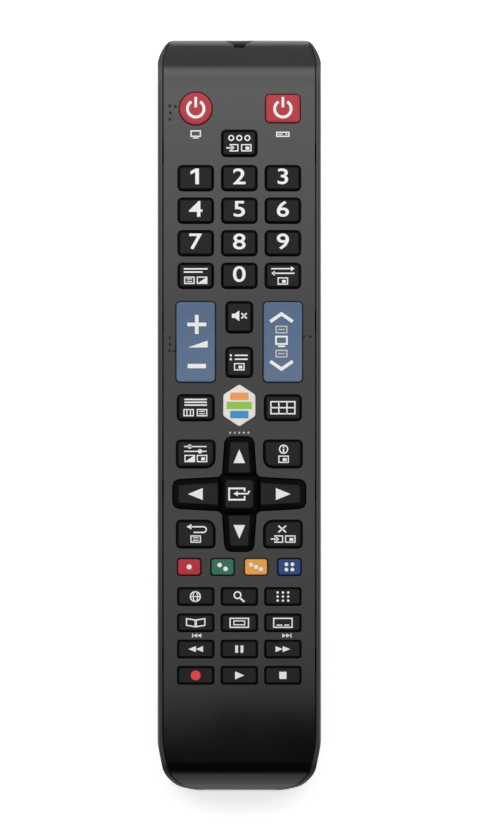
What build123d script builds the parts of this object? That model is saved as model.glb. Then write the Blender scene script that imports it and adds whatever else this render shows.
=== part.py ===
from build123d import *
import math
import os

os.makedirs("parts", exist_ok=True)

# Universal remote control, lying on its back.
# X runs across, +Y points to the head where the infrared window is, +Z comes out of the keys.
# The origin is on the flat back, in the middle of the casing's width and length.
# All lengths are in millimetres, all angles in degrees.

# The two slim standard cells that set the thickness
cell_diameter = 10.5
cell_length = 44.5
nub_diameter = 3.8
nub_height = 0.8
cell_spread = 1.5
cell_clearance = 0.3

# Layers from the back to the front
door_wall = 1.6
shell_wall = 1.8
bay_roof = 1.0
board_thickness = 1.2
mat_thickness = 0.9
flange_thickness = 0.8
key_travel = 0.7
travel_margin = 0.2
cover_wall = 1.8
seat_gap = 0.05
flange_gap = 0.05

# The casing seen from the front
body_length = 214.0
side_margin = 4.15
band_width = 1.3
seam_gap = 0.45
skirt_wall = 1.2
head_corner_width = 3.15
head_corner_length = 5.1
head_end_radius = 3.2
head_side_radius = 12.0
tail_corner_width = 11.0
tail_corner_length = 13.5
tail_bend_shares = [(0.155, 0.37), (0.48, 0.106)]
tail_side_radius = 36.0
tail_bend_radius = 7.0
tail_turn_radius = 7.0
tail_end_radius = 22.0
cover_head_inset = 0.8
cover_tail_inset = 0.9

# The casing seen from its end and from its side
rim_radius = 1.2
belly_height = 6.5
belly_radius = 8.0
back_margin = 6.0
head_roll_length = 10.0
head_roll_drop = 2.4
head_nose_length = 1.6
head_nose_drop = 3.1
head_roll_radius = 22.0
head_brow_radius = 3.5
head_nose_radius = 5.0
head_belly_length = 5.0
head_belly_height = 6.0
head_belly_radius = 5.0
tail_roll_length = 5.5
tail_roll_drop = 4.2
tail_roll_radius = 4.5
tail_belly_length = 6.5
tail_belly_height = 7.5
tail_belly_radius = 8.0

# Key openings and the webs of cover between them, from the head down to the tail
head_margin = 14.9
column_web = 1.9
power_diameter = 9.8
set_power_width = 10.3
set_power_height = 8.5
source_width = 10.5
source_height = 7.9
source_web = 1.05
digit_width = 10.5
digit_height = 7.6
digit_web = 1.67
digit_top_web = 2.15
rocker_width = 11.7
rocker_height = 23.4
rocker_web = 3.35
mute_width = 8.0
mute_height = 9.3
list_height = 9.0
mute_web = 3.65
hub_width = 9.7
hub_height = 12.6
hub_web = 1.5
menu_width = 10.9
menu_height = 7.8
menu_web = 3.1
tool_width = 11.4
tool_height = 8.3
pad_web = 2.4
pad_width = 38.2
pad_height = 33.0
tool_inset = 0.95
colour_width = 7.1
colour_height = 5.25
colour_web = 2.4
colour_top_web = 1.6
function_width = 10.7
function_height = 5.4
function_web = 2.07
function_top_web = 3.1

# The cross-shaped direction pad
arm_tip = 8.4
arm_root = 9.9
arm_reach = 5.9
arm_tip_radius = 1.9
pad_key_gap = 0.3
arrow_slope = 1.6
enter_slope = 1.65
enter_radius = 2.0

# How every key is made
key_gap = 0.2
key_corner = 1.3
key_wide_corner = 2.8
colour_corner = 0.8
flange_lip = 0.5
key_rise = 1.3
low_key_rise = 1.0
key_edge = 0.45
low_key_edge = 0.35
corner_chords = 2
chord_radius = 2.0
rocker_edge = 0.4
rocker_dish = 0.45
plunger_width = 3.0
small_plunger_width = 2.2
plunger_gap = 0.1
plunger_clearance = 0.3
rocker_tilt = 2.0
rocker_plunger_inset = 4.0
fulcrum_width = 1.0

# Battery bay, its door and its contacts
bay_end_wall = 1.6
bay_side_wall = 1.8
bay_tail_margin = 7.0
bay_rib_width = 0.8
bay_rib_height = 3.0
door_gap = 0.15
door_rail = 0.8
door_rail_low = 0.8
door_reach = 3.8
door_end_height = 9.0
rail_tail_margin = 7.0
grip_count = 5
grip_pitch = 2.4
grip_depth = 0.5
grip_length = 1.0
grip_width_share = 0.6
grip_margin = 6.0
contact_thickness = 0.4
contact_width = 9.0
contact_height = 8.0
spring_length = 4.0
spring_radius = 2.9
spring_tip_radius = 2.0
spring_wire = 0.6
spring_turns = 4
spring_steps = 8
wire_sides = 4

# Circuit board, its parts and what carries it
board_clearance = 0.25
board_head_margin = 12.2
board_tail_margin = 14.0
board_corner = 3.0
board_overlap = 2.0
ledge_thickness = 1.2
pin_radius = 0.8
pin_sides = 6
pin_clearance = 0.1
pin_inset = 1.0
pin_place_shares = [0.72, 0.05, -0.62]
mat_inset = 2.4
rib_thickness = 1.2
rib_place_shares = [0.62, 0.28, -0.1]
chip_length = 10.3
chip_width = 7.5
chip_height = 2.3
chip_place_share = 0.45
lead_count = 8
lead_pitch = 1.27
lead_width = 0.5
lead_length = 1.2
lead_thickness = 0.4
capacitor_radius = 3.0
capacitor_height = 7.0
capacitor_place_share = 0.12
capacitor_side = 8.0

# Infrared emitter and its window at the head
window_top_width = 2.8
window_bottom_width = 9.2
window_top_height = 17.1
window_bottom_height = 8.0
window_corner = 0.6
window_depth = 4.2
window_gap = 0.1
window_flange = 0.8
window_flange_gap = 0.1
window_flange_wall = 0.8
led_radius = 2.5
led_rim_radius = 2.9
led_sides = 12
led_dome_share = 0.45
led_rim_length = 1.0
led_length = 8.0
led_height = 12.2
led_gap = 0.5
lead_wire = 0.5
lead_wire_spacing = 2.54
lead_wire_run = 2.0

# Snap lugs that hold the cover in the rear shell
lug_length = 6.0
lug_height = 1.0
lug_reach = 0.8
lug_foot = 0.35
lug_gap = 0.15
lug_place_shares = [0.7, 0.25, -0.2, -0.65]

# One overrun serves every cut; over the flare's run it crosses a straight side at a slant
overrun = 3.0
flare_run = 45.0

# Heights of the layers
cell_height = door_wall + cell_clearance + cell_diameter / 2
roof_low = cell_height + cell_diameter / 2 + cell_clearance
roof_top = roof_low + bay_roof
board_low = roof_top + seat_gap
board_top = board_low + board_thickness
mat_low = board_top + seat_gap
mat_top = mat_low + mat_thickness
flange_low = mat_top + travel_margin + key_travel
flange_top = flange_low + flange_thickness
cover_under = flange_top + flange_gap
front_height = cover_under + cover_wall

# Widths worked out from what the casing holds
body_width = pad_width + 2 * side_margin
half_width = body_width / 2
half_length = body_length / 2
bay_half = cell_spread / 2 + cell_diameter + cell_clearance
door_half = bay_half
belly_half = door_half + door_rail + door_gap + back_margin
cover_half = half_width - band_width - seam_gap
skirt_half = cover_half - skirt_wall
board_half = skirt_half - board_clearance
ledge_half = board_half - board_overlap
mat_half = board_half - mat_inset

# Places of the keys, counted down from the head
column = digit_width + column_web
power_place = half_length - head_margin - power_diameter / 2
source_place = power_place - power_diameter / 2 - source_web - source_height / 2
digit_place = source_place - source_height / 2 - digit_top_web - digit_height / 2
digit_pitch = digit_height + digit_web
digit_rows = 4
digit_end = digit_place - (digit_rows - 1) * digit_pitch - digit_height / 2
rocker_place = digit_end - rocker_web - rocker_height / 2
rocker_end = rocker_place - rocker_height / 2
mute_place = rocker_place + rocker_height / 2 - mute_height / 2
list_place = mute_place - mute_height / 2 - mute_web - list_height / 2
hub_place = list_place - list_height / 2 - hub_web - hub_height / 2
menu_place = rocker_end - menu_web - menu_height / 2
pad_place = hub_place - hub_height / 2 - pad_web - pad_height / 2
tool_step = pad_height / 2 - tool_inset - tool_height / 2
colour_place = pad_place - pad_height / 2 - colour_top_web - colour_height / 2
colour_pitch = colour_width + colour_web
function_place = colour_place - colour_height / 2 - function_top_web - function_height / 2
function_pitch = function_height + function_web

# Places along the battery bay
bay_tail = -half_length + bay_tail_margin + bay_end_wall
bay_length = 2 * (contact_thickness + seat_gap) + spring_length + cell_length + 2 * seat_gap
bay_head = bay_tail + bay_length
door_head = bay_head + door_reach

# Swing of a rocker's end, and the flange that leaves room for it
rocker_swing = (rocker_height / 2 + flange_lip) * math.sin(math.radians(rocker_tilt))
rocker_flange_top = flange_top - rocker_swing
rocker_flange_low = mat_top + travel_margin + rocker_swing
rocker_axis = board_top + plunger_gap + fulcrum_width / 2


# Helpers that place a flat outline and give it a height


def at_height(sketch, height):
    return Plane.XY.offset(height) * sketch


def prism(sketch, low, high):
    return extrude(at_height(sketch, low), high - low, dir=(0, 0, 1))


def bar_across(sketch, low, high):
    """A side view, Y and Z, run along X."""
    return extrude(Plane.YZ.offset(low) * sketch, high - low, dir=(1, 0, 0))


def bar_along(sketch, low, high):
    """An end view, X and Z, run along Y."""
    return extrude(Plane.XZ.offset(-low) * sketch, high - low, dir=(0, 1, 0))


def block(x_low, x_high, y_low, y_high, z_low, z_high):
    middle = Location(((x_low + x_high) / 2, (y_low + y_high) / 2, (z_low + z_high) / 2))
    return middle * Box(x_high - x_low, y_high - y_low, z_high - z_low)


def rounded_face(corners, radii):
    return make_face(FilletPolyline(*corners, radius=radii, close=True))


def chord_count(edge):
    """How many even chords stand for an edge: one for a line, more for a wider arc."""
    if edge.geom_type != GeomType.CIRCLE:
        return 1
    return corner_chords * math.ceil(edge.radius / chord_radius)


def chord_face(corners, radii):
    """An outline whose small round corners are a few even chords, which keeps the keys light."""
    points = []
    for edge in FilletPolyline(*corners, radius=radii, close=True).edges():
        steps = chord_count(edge)
        points += [edge @ (step / steps) for step in range(steps)]
    return make_face(Polyline(*points, close=True))


def top_edges(body):
    return body.faces().sort_by(Axis.Z)[-1].edges()


def mirrored(points):
    return points + [(-x, y) for x, y in reversed(points)]


def rectangle_corners(width, height):
    right = [(width / 2, -height / 2), (width / 2, height / 2)]
    return mirrored(right)


# Casing: the plan, the end view and the side view, each drawn once


def tail_corner(width):
    """The soft corner beside the tail, from the straight side to its last bend."""
    bends = [(width - tail_corner_width * across, tail_corner_length * along - half_length)
             for across, along in tail_bend_shares]
    return [(width, tail_corner_length - half_length)] + bends


def plan_face():
    """Plan of both ends; between them it flares past the straight sides of the end view."""
    right = [(half_width - head_corner_width, half_length),
             (half_width, half_length - head_corner_length),
             (half_width + overrun, half_length - head_corner_length - flare_run),
             (half_width + overrun, tail_corner_length + flare_run - half_length)]
    right = right + tail_corner(half_width) + [(half_width - tail_corner_width, -half_length)]
    radii = [head_end_radius, head_side_radius, 0, 0, tail_side_radius,
             tail_bend_radius, tail_turn_radius, tail_end_radius]
    return rounded_face(mirrored(right), radii + radii[::-1])


def section_face():
    right = [(belly_half, 0), (half_width, belly_height), (half_width, front_height)]
    radii = [belly_radius, belly_radius, rim_radius]
    return rounded_face(mirrored(right), radii + radii[::-1])


def side_face():
    """Side view of both ends; between them it bulges past the flat back and front."""
    head = [
        (half_length - head_belly_length - flare_run, -overrun),
        (half_length - head_belly_length, 0),
        (half_length, head_belly_height),
        (half_length, front_height - head_roll_drop - head_nose_drop),
        (half_length - head_nose_length, front_height - head_roll_drop),
        (half_length - head_roll_length, front_height),
        (half_length - head_roll_length - flare_run, front_height + overrun),
    ]
    head_radii = [0, head_belly_radius, head_belly_radius, head_nose_radius,
                  head_brow_radius, head_roll_radius, 0]
    tail = [
        (tail_roll_length + flare_run - half_length, front_height + overrun),
        (tail_roll_length - half_length, front_height),
        (-half_length, front_height - tail_roll_drop),
        (-half_length, tail_belly_height),
        (tail_belly_length - half_length, 0),
        (tail_belly_length + flare_run - half_length, -overrun),
    ]
    tail_radii = [0, tail_roll_radius, tail_roll_radius, tail_belly_radius,
                  tail_belly_radius, 0]
    return rounded_face(head + tail, head_radii + tail_radii)


def inset_face(face, inset):
    if inset == 0:
        return face
    return offset(face, -inset, kind=Kind.INTERSECTION)


def casing_form(inset):
    """The whole casing as one solid, every wall moved in by the inset."""
    reach = 2 * overrun
    plan = prism(inset_face(plan_face(), inset), -reach, front_height + reach)
    end_view = bar_along(inset_face(section_face(), inset), -half_length - reach,
                         half_length + reach)
    side_view = bar_across(inset_face(side_face(), inset), -half_width - reach,
                           half_width + reach)
    return plan & end_view & side_view


def cover_face(inset):
    """Plan of the front cover; it runs past both ends of the casing."""
    head_x = half_width - head_corner_width - cover_head_inset - inset
    head_slope = (cover_half - inset - head_x) / head_corner_length
    right = [(head_x - overrun * head_slope, half_length + overrun),
             (cover_half - inset, half_length - head_corner_length)]
    end_x = cover_half - tail_corner_width - cover_tail_inset - inset
    right = right + tail_corner(cover_half - inset)
    right = right + [(end_x, -half_length), (end_x, -half_length - overrun)]
    radii = [0, head_side_radius, tail_side_radius, tail_bend_radius, tail_turn_radius, 0, 0]
    return rounded_face(mirrored(right), radii + radii[::-1])


# Outlines of the keys and of their openings


def key_face(width, height, radii, grow):
    corners = rectangle_corners(width + 2 * grow, height + 2 * grow)
    return chord_face(corners, [radius + grow for radius in radii])


def power_face(grow):
    return Circle(power_diameter / 2 + grow)


def rocker_face(grow):
    return key_face(rocker_width, rocker_height, even_radii, grow)


def hub_face(grow):
    side = hub_width / 2 + grow
    tip = hub_height / 2 + grow
    shoulder = tip / 2
    corners = [(0, -tip), (side, -shoulder), (side, shoulder),
               (0, tip), (-side, shoulder), (-side, -shoulder)]
    return chord_face(corners, [key_corner + grow] * len(corners))


def pad_face(grow):
    """The whole cross-shaped opening."""
    across = pad_width / 2
    along = pad_height / 2
    quarter = [(across + grow, arm_tip / 2 + grow), (arm_reach + grow, arm_root / 2 + grow),
               (arm_root / 2 + grow, arm_reach + grow), (arm_tip / 2 + grow, along + grow)]
    radii = [arm_tip_radius + grow, 0, 0, arm_tip_radius + grow]
    top = quarter + [(-x, y) for x, y in reversed(quarter)]
    bottom = [(-x, -y) for x, y in top]
    return chord_face(top + bottom, (radii + radii[::-1]) * 2)


even_radii = [key_corner] * 4
colour_radii = [colour_corner] * 4


def tool_radii(right_column, upper_row):
    """The corner that looks at the middle of the pad is rounder than the rest."""
    corners = [(True, False), (True, True), (False, True), (False, False)]
    inward = (not right_column, not upper_row)
    return [key_wide_corner if corner == inward else key_corner for corner in corners]


# Every plain key: its name, place, width, height and corner radii


def digit_keys():
    names = [["digit_1", "digit_2", "digit_3"], ["digit_4", "digit_5", "digit_6"],
             ["digit_7", "digit_8", "digit_9"], ["text_key", "digit_0", "last_channel_key"]]
    keys = []
    for row, row_names in enumerate(names):
        for side, name in zip((-1, 0, 1), row_names):
            place = (side * column, digit_place - row * digit_pitch)
            keys.append((name, place, digit_width, digit_height, even_radii))
    return keys


def colour_keys():
    names = ["red_key", "green_key", "yellow_key", "blue_key"]
    first = -colour_pitch * (len(names) - 1) / 2
    keys = []
    for number, name in enumerate(names):
        place = (first + number * colour_pitch, colour_place)
        keys.append((name, place, colour_width, colour_height, colour_radii))
    return keys


def function_keys():
    names = [["internet_key", "search_key", "keypad_key"],
             ["manual_key", "picture_size_key", "subtitle_key"],
             ["rewind_key", "pause_key", "forward_key"],
             ["record_key", "play_key", "stop_key"]]
    keys = []
    for row, row_names in enumerate(names):
        for side, name in zip((-1, 0, 1), row_names):
            place = (side * column, function_place - row * function_pitch)
            keys.append((name, place, function_width, function_height, colour_radii))
    return keys


def single_keys():
    keys = [
        ("set_power_key", (column, power_place), set_power_width, set_power_height, even_radii),
        ("source_key", (0, source_place), source_width, source_height, even_radii),
        ("mute_key", (0, mute_place), mute_width, mute_height, even_radii),
        ("channel_list_key", (0, list_place), mute_width, list_height, even_radii),
        ("menu_key", (-column, menu_place), menu_width, menu_height, even_radii),
        ("guide_key", (column, menu_place), menu_width, menu_height, even_radii),
    ]
    tools = [("tools_key", -1, 1), ("info_key", 1, 1), ("return_key", -1, -1), ("exit_key", 1, -1)]
    for name, side, row in tools:
        place = (side * column, pad_place + row * tool_step)
        radii = tool_radii(side > 0, row > 0)
        keys.append((name, place, tool_width, tool_height, radii))
    return keys


plain_keys = single_keys() + digit_keys()
low_keys = colour_keys() + function_keys()
rockers = [("volume_rocker", (-column, rocker_place)), ("channel_rocker", (column, rocker_place))]
arrows = [("right_key", 0, pad_width), ("up_key", 90, pad_height),
          ("left_key", 180, pad_width), ("down_key", 270, pad_height)]


# Keys


def plunger(width, low, high):
    return prism(Rectangle(width, width), low, high)


def cap(outline, foot, rise, edge):
    """A key's head: straight through the cover, its top edge broken all round."""
    head = prism(outline(-key_gap), foot, front_height + rise)
    return chamfer(top_edges(head), edge)


contact_low = board_top + key_travel + plunger_gap


def pressed_key(head, flange, stem_width):
    """Head, retaining flange and plunger of a key that moves straight down."""
    body = head + prism(flange, flange_low, flange_top)
    return body + plunger(stem_width, contact_low, flange_low)


def plain_key(width, height, radii, rise, edge, stem_width):
    def outline(grow):
        return key_face(width, height, radii, grow)

    flange = Rectangle(width + 2 * flange_lip, height + 2 * flange_lip)
    return pressed_key(cap(outline, flange_low, rise, edge), flange, stem_width)


def power_key():
    flange = Rectangle(power_diameter + 2 * flange_lip, power_diameter + 2 * flange_lip)
    return pressed_key(cap(power_face, flange_low, key_rise, key_edge), flange, plunger_width)


def hub_key():
    head = cap(hub_face, flange_low, key_rise, key_edge)
    return pressed_key(head, hub_face(flange_lip), plunger_width)


def rocker_dish_cutter():
    """A large cylinder across the key that hollows its top along its length."""
    chord = rocker_height / 2
    radius = (chord * chord + rocker_dish * rocker_dish) / (2 * rocker_dish)
    middle = front_height + key_rise - rocker_dish + radius
    return Location((0, 0, middle)) * Rotation(0, 90, 0) * Cylinder(radius, rocker_width)


def rocker_fulcrum():
    """The rib that the rocker tips on; its round foot has the hinge's axis as its own."""
    half = plunger_width / 2
    foot = Pos(0, rocker_axis) * Circle(fulcrum_width / 2)
    web = block(-half, half, -fulcrum_width / 2, fulcrum_width / 2, rocker_axis,
                rocker_flange_low)
    return web + bar_across(foot, -half, half)


def rocker_key():
    """A long key with a dished top that tips about a rib across its middle."""
    body = prism(rocker_face(-key_gap), rocker_flange_low, front_height + key_rise)
    body = chamfer(top_edges(body), rocker_edge) - rocker_dish_cutter()
    flange = Rectangle(rocker_width + 2 * flange_lip, rocker_height + 2 * flange_lip)
    body += prism(flange, rocker_flange_low, rocker_flange_top)
    stem_place = rocker_height / 2 - rocker_plunger_inset
    stem_swing = stem_place * math.sin(math.radians(rocker_tilt))
    for side in (-1, 1):
        stem = plunger(plunger_width, board_top + stem_swing + plunger_gap, rocker_flange_low)
        body += Location((0, side * stem_place, 0)) * stem
    return body + rocker_fulcrum()


def arrow_key(reach):
    """A direction key that fills one arm of the cross; its sides slope up to a small face."""
    tip = arm_tip / 2 - key_gap
    root = arm_root / 2 - key_gap
    far = reach - key_gap
    near = arm_reach
    tip_radius = arm_tip_radius - key_gap
    foot = chord_face([(near, -root), (far, -tip), (far, tip), (near, root)],
                      [0, tip_radius, tip_radius, 0])
    body = prism(foot, flange_low, front_height + key_rise)
    sloped = top_edges(body).sort_by(Axis.X)[1:]
    body = chamfer(sloped, key_rise, arrow_slope)
    lip_root = arm_root / 2 + flange_lip
    lip_tip = arm_tip / 2 + flange_lip
    flange = Polygon((near, -lip_root), (reach + flange_lip, -lip_tip),
                     (reach + flange_lip, lip_tip), (near, lip_root), align=None)
    body += prism(flange, flange_low, flange_top)
    stem = plunger(plunger_width, contact_low, flange_low)
    return body + Location(((near + far) / 2, 0, 0)) * stem


def enter_key():
    side = 2 * (arm_reach - pad_key_gap)
    foot = key_face(side, side, [enter_radius] * 4, 0)
    body = prism(foot, flange_low, front_height + key_rise)
    body = chamfer(top_edges(body), key_rise, enter_slope)
    return body + plunger(plunger_width, contact_low, flange_low)


# Front cover


def window_face(grow):
    top = window_top_width / 2 + grow
    bottom = window_bottom_width / 2 + grow
    right = [(bottom, window_bottom_height - grow), (top, window_top_height + grow)]
    return chord_face(mirrored(right), [window_corner] * 4)


def window_prism(grow):
    """The window's outline as a bar that runs out through the head."""
    return bar_along(window_face(grow), half_length - window_depth, half_length + overrun)


def key_openings():
    sketch = Pos(0, pad_place) * pad_face(0)
    sketch += Pos(-column, power_place) * power_face(0)
    sketch += Pos(0, hub_place) * hub_face(0)
    for name, place, width, height, radii in plain_keys + low_keys:
        sketch += Pos(*place) * key_face(width, height, radii, 0)
    for name, place in rockers:
        sketch += Pos(*place) * rocker_face(0)
    return sketch


def lug_blocks(grow):
    """The snap lugs on both sides, or with a grow the pockets that take them."""
    low = board_low + lug_foot
    lugs = []
    for share in lug_place_shares:
        place = share * half_length
        for side in (-1, 1):
            inner = cover_half - skirt_wall / 2
            outer = cover_half + lug_reach + grow
            ends = sorted((side * inner, side * outer))
            lugs.append(block(ends[0], ends[1], place - lug_length / 2 - grow,
                              place + lug_length / 2 + grow, low - grow,
                              low + lug_height + grow))
    return lugs


def top_cover():
    body = casing_form(0) & prism(cover_face(0), board_low, front_height + overrun)
    hollow = casing_form(cover_wall) & prism(cover_face(skirt_wall), -overrun, front_height)
    body -= hollow
    body -= prism(key_openings(), cover_under - overrun, front_height + overrun)
    body += lug_blocks(0)
    return body - window_prism(window_gap)


# Rear shell


def door_passage():
    """What the door slides through: its plate and tail, and the groove for its rails."""
    plate = block(-door_half - door_gap, door_half + door_gap, -half_length - overrun,
                  door_head + door_gap, -overrun, door_end_height + door_gap)
    plate -= casing_form(door_wall + door_gap)
    groove_half = door_half + door_rail + door_gap
    groove = block(-groove_half, groove_half, -half_length - overrun,
                   door_head + door_rail + door_gap, door_rail_low - door_gap,
                   door_wall + door_gap)
    return plate + groove


def bay_block(grow_side, grow_head, grow_tail, low, high):
    return block(-bay_half - grow_side, bay_half + grow_side, bay_tail - grow_tail,
                 bay_head + grow_head, low, high)


def shell_ledges():
    """A shelf along each side that carries the board's edge and the cover's skirt."""
    return [block(*sorted((side * ledge_half, side * half_width)), -half_length, half_length,
                  roof_top - ledge_thickness, roof_top) for side in (-1, 1)]


def shell_ribs():
    ribs = []
    for share in rib_place_shares:
        place = share * half_length
        ribs.append(block(-half_width, half_width, place - rib_thickness / 2,
                          place + rib_thickness / 2, 0, roof_top))
    return ribs


def pin_places():
    across = board_half - pin_inset
    return [(side * across, share * half_length) for share in pin_place_shares
            for side in (-1, 1)]


def rear_shell():
    whole = casing_form(0)
    body = whole - casing_form(shell_wall)
    body += shell_ledges()
    body += shell_ribs()
    body += bay_block(bay_side_wall, bay_end_wall, bay_end_wall, 0, roof_top)
    body = body & whole
    body -= bay_block(0, 0, 0, -overrun, roof_low)
    body -= door_passage()
    body += block(-bay_rib_width / 2, bay_rib_width / 2, bay_tail + spring_length,
                  bay_head - spring_length, roof_low - bay_rib_height, roof_low)
    body -= prism(cover_face(-seam_gap), roof_top, front_height + overrun)
    body -= lug_blocks(lug_gap)
    for x, y in pin_places():
        pin = prism(RegularPolygon(pin_radius, pin_sides), roof_top, board_top)
        body += Location((x, y, 0)) * pin
    return body - window_prism(window_gap)


# Battery door


def battery_door():
    body = casing_form(0) - casing_form(door_wall)
    body = body & block(-door_half, door_half, -half_length - overrun, door_head,
                        -overrun, door_end_height)
    rail_half = door_half + door_rail
    body += block(-rail_half, rail_half, rail_tail_margin - half_length,
                  door_head + door_rail, door_rail_low, door_wall)
    grip_half = door_half * grip_width_share
    for number in range(grip_count):
        place = door_head - grip_margin - number * grip_pitch
        body -= block(-grip_half, grip_half, place - grip_length / 2, place + grip_length / 2,
                      -overrun, grip_depth)
    return body


# Cells and their contacts


def battery_cell():
    """One cell lying along Y, its nub towards +Y, its middle at the origin."""
    shoulder = cell_length / 2 - nub_height
    body = bar_along(Circle(cell_diameter / 2), -cell_length / 2, shoulder)
    return body + bar_along(Circle(nub_diameter / 2), shoulder, cell_length / 2)


cell_side = cell_spread / 2 + cell_diameter / 2
tail_contact = bay_tail + seat_gap + contact_thickness
head_contact = bay_head - seat_gap - contact_thickness


def battery_cells():
    left_place = head_contact - seat_gap - cell_length / 2
    right_place = tail_contact + seat_gap + cell_length / 2
    left = Location((-cell_side, left_place, cell_height)) * battery_cell()
    right = Location((cell_side, right_place, cell_height)) * Rotation(0, 0, 180) * battery_cell()
    return Compound([left, right])


def coil_spring():
    """A spring that narrows from its seat at the origin towards the cell along +Y."""
    run = spring_length - spring_wire - 2 * seat_gap
    points = []
    for step in range(spring_turns * spring_steps + 1):
        share = step / (spring_turns * spring_steps)
        radius = spring_radius + (spring_tip_radius - spring_radius) * share
        turned = Vector(radius, 0, run * share).rotate(Axis.Z, 360 * step / spring_steps)
        points.append(turned)
    path = Polyline(*points)
    wire = Plane(origin=path @ 0, z_dir=path % 0) * RegularPolygon(spring_wire / 2, wire_sides)
    body = sweep(wire, path=path, transition=Transition.RIGHT)
    return Rotation(-90, 0, 0) * Location((0, 0, spring_wire / 2 + seat_gap)) * body


def battery_springs():
    tail = Location((-cell_side, tail_contact, cell_height)) * coil_spring()
    head = Location((cell_side, head_contact, cell_height)) * Rotation(0, 0, 180) * coil_spring()
    return Compound([tail, head])


def contact_block(x_low, x_high, y_low):
    return block(x_low, x_high, y_low, y_low + contact_thickness,
                 cell_height - contact_height / 2, cell_height + contact_height / 2)


def bridging_contact():
    reach = cell_side + contact_width / 2
    return contact_block(-reach, reach, bay_tail + seat_gap)


def terminal_plates():
    plates = [contact_block(side * cell_side - contact_width / 2,
                            side * cell_side + contact_width / 2, head_contact)
              for side in (-1, 1)]
    return Compound(plates)


# Circuit board and what is soldered to it


board_head = half_length - board_head_margin
board_tail = -half_length + board_tail_margin


def board_face(inset):
    corners = [(board_half - inset, board_tail + inset), (board_half - inset, board_head - inset)]
    return chord_face(mirrored(corners), [board_corner] * 4)


def circuit_board():
    body = prism(board_face(0), board_low, board_top)
    for x, y in pin_places():
        hole = RegularPolygon(pin_radius + pin_clearance, pin_sides)
        body -= Location((x, y, 0)) * prism(hole, board_low - overrun, board_top + overrun)
    return body


def controller_chip():
    place = chip_place_share * half_length
    top = board_low - seat_gap
    body = block(-chip_width / 2, chip_width / 2, place - chip_length / 2,
                 place + chip_length / 2, top - chip_height, top)
    first = place - lead_pitch * (lead_count - 1) / 2
    reach = chip_width / 2 + lead_length
    for number in range(lead_count):
        middle = first + number * lead_pitch
        body += block(-reach, reach, middle - lead_width / 2, middle + lead_width / 2,
                      top - lead_thickness, top)
    return body


def reservoir_capacitor():
    top = board_low - seat_gap
    can = prism(Circle(capacitor_radius), top - capacitor_height, top)
    return Location((capacitor_side, capacitor_place_share * half_length, 0)) * can


def led_bar(radius, low, high):
    return bar_along(RegularPolygon(radius, led_sides), low, high)


def infrared_led():
    """A round emitter that looks out of the head, its two legs bent up to the board."""
    tip = half_length - cover_wall - window_flange_gap - window_flange_wall - led_gap
    start = tip - led_length
    barrel = led_bar(led_radius, start, tip)
    dome = chamfer(barrel.faces().sort_by(Axis.Y)[-1].edges(), led_radius * led_dome_share)
    rim = led_bar(led_rim_radius, start, start + led_rim_length)
    body = Location((0, 0, led_height)) * (dome + rim)
    for side in (-1, 1):
        middle = side * lead_wire_spacing / 2
        ends = (middle - lead_wire / 2, middle + lead_wire / 2)
        body += block(*ends, start - lead_wire_run, start, led_height, led_height + lead_wire)
        body += block(*ends, start - lead_wire_run, start - lead_wire_run + lead_wire,
                      led_height, board_low - seat_gap)
    return body


def infrared_window():
    """The dark window: a face that follows the head's skin, and a flange behind it."""
    inner = cover_wall + window_flange_gap
    face = (casing_form(0) - casing_form(inner)) & window_prism(0)
    flange = casing_form(inner) - casing_form(inner + window_flange_wall)
    return face + (flange & window_prism(window_flange))


# Rubber mat with a hole for every plunger


def plunger_places():
    """The place and the width of every plunger that moves straight down."""
    places = [(place, plunger_width) for name, place, *sizes in plain_keys]
    places += [(place, small_plunger_width) for name, place, *sizes in low_keys]
    places += [((-column, power_place), plunger_width), ((0, hub_place), plunger_width),
               ((0, pad_place), plunger_width)]
    for name, angle, reach in arrows:
        middle = (arm_reach + reach / 2 - key_gap) / 2
        turned = Vector(middle, 0).rotate(Axis.Z, angle)
        places.append(((turned.X, turned.Y + pad_place), plunger_width))
    return places


def keypad_mat():
    inset = board_half - mat_half
    body = prism(board_face(inset), mat_low, mat_top)
    holes = Sketch()
    for (x, y), width in plunger_places():
        side = width + 2 * plunger_clearance
        holes += Pos(x, y) * Rectangle(side, side)
    stem_place = rocker_height / 2 - rocker_plunger_inset
    wide = plunger_width + 2 * plunger_clearance
    for name, (x, y) in rockers:
        for step in (-stem_place, stem_place):
            holes += Pos(x, y + step) * Rectangle(wide, wide)
        holes += Pos(x, y) * Rectangle(wide, fulcrum_width + 2 * plunger_clearance)
    return body - prism(holes, mat_low - overrun, mat_top + overrun)


# Writing the pieces


def save(shape, name):
    shape.label = name
    export_step(shape, "parts/" + name + ".step")
    print(name, round(shape.volume, 1))


def save_keys():
    for name, place, width, height, radii in plain_keys:
        key = plain_key(width, height, radii, key_rise, key_edge, plunger_width)
        save(Pos(*place) * key, name)
    for name, place, width, height, radii in low_keys:
        key = plain_key(width, height, radii, low_key_rise, low_key_edge, small_plunger_width)
        save(Pos(*place) * key, name)
    save(Pos(-column, power_place) * power_key(), "power_key")
    save(Pos(0, hub_place) * hub_key(), "hub_key")
    for name, place in rockers:
        save(Pos(*place) * rocker_key(), name)
    for name, angle, reach in arrows:
        save(Pos(0, pad_place) * Rotation(0, 0, angle) * arrow_key(reach / 2), name)
    save(Pos(0, pad_place) * enter_key(), "enter_key")


save_keys()
save(top_cover(), "top_cover")
save(rear_shell(), "rear_shell")
save(battery_door(), "battery_door")
save(keypad_mat(), "keypad_mat")
save(circuit_board(), "circuit_board")
save(controller_chip(), "controller_chip")
save(reservoir_capacitor(), "reservoir_capacitor")
save(infrared_led(), "infrared_led")
save(infrared_window(), "infrared_window")
save(battery_cells(), "battery_cells")
save(battery_springs(), "battery_springs")
save(bridging_contact(), "bridging_contact")
save(terminal_plates(), "terminal_plates")
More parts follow.
